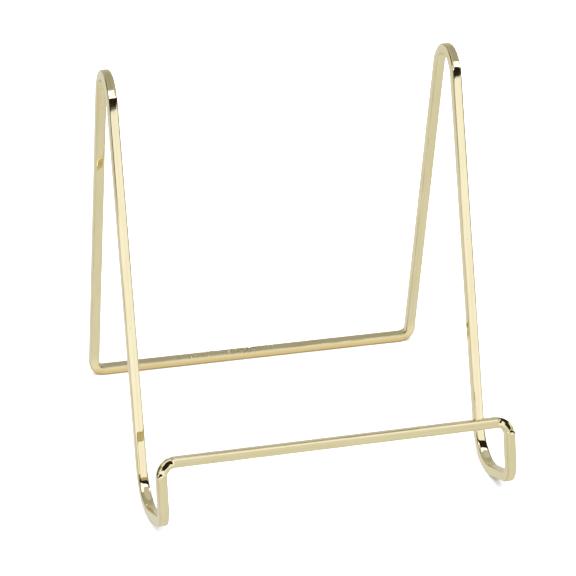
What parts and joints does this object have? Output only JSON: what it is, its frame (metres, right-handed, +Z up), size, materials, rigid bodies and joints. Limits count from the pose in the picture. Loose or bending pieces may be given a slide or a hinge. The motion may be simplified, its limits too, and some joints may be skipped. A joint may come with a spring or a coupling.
{
  "type": "display easel",
  "caption": "Tabletop display easel bent from square brass-coloured wire: two leaning front legs, two back legs, curled feet and a front ledge bar.",
  "frame": {"origin": "on the surface that the easel stands on, midway between its sides and between its front and back", "axes": "+X to the right as seen from the front, -Y towards the front where the ledge bar is, +Z up"},
  "size_m": [0.1142, 0.0996, 0.1175],
  "materials": {
    "bright_brass": "bright pale brass plate on drawn square wire, fine draw lines along the wire, small plating pits",
    "weld_brass": "ground-back butt weld under the same plate, slightly duller and pitted"
  },
  "bodies": {
    "root": {"left_back_bar": "bright_brass", "left_back_corner": "bright_brass", "left_back_leg": "bright_brass", "left_top_bend": "bright_brass", "left_front_leg": "bright_brass", "left_foot_bend": "bright_brass", "left_foot_run": "bright_brass", "left_lip_bend": "bright_brass", "left_lip_post": "bright_brass", "left_ledge_corner": "bright_brass", "right_back_bar": "bright_brass", "right_back_corner": "bright_brass", "right_back_leg": "bright_brass", "right_top_bend": "bright_brass", "right_front_leg": "bright_brass", "right_foot_bend": "bright_brass", "right_foot_run": "bright_brass", "right_lip_bend": "bright_brass", "right_lip_post": "bright_brass", "right_ledge_corner": "bright_brass", "ledge_bar": "bright_brass", "butt_weld": "weld_brass"}
  },
  "joints": []
}
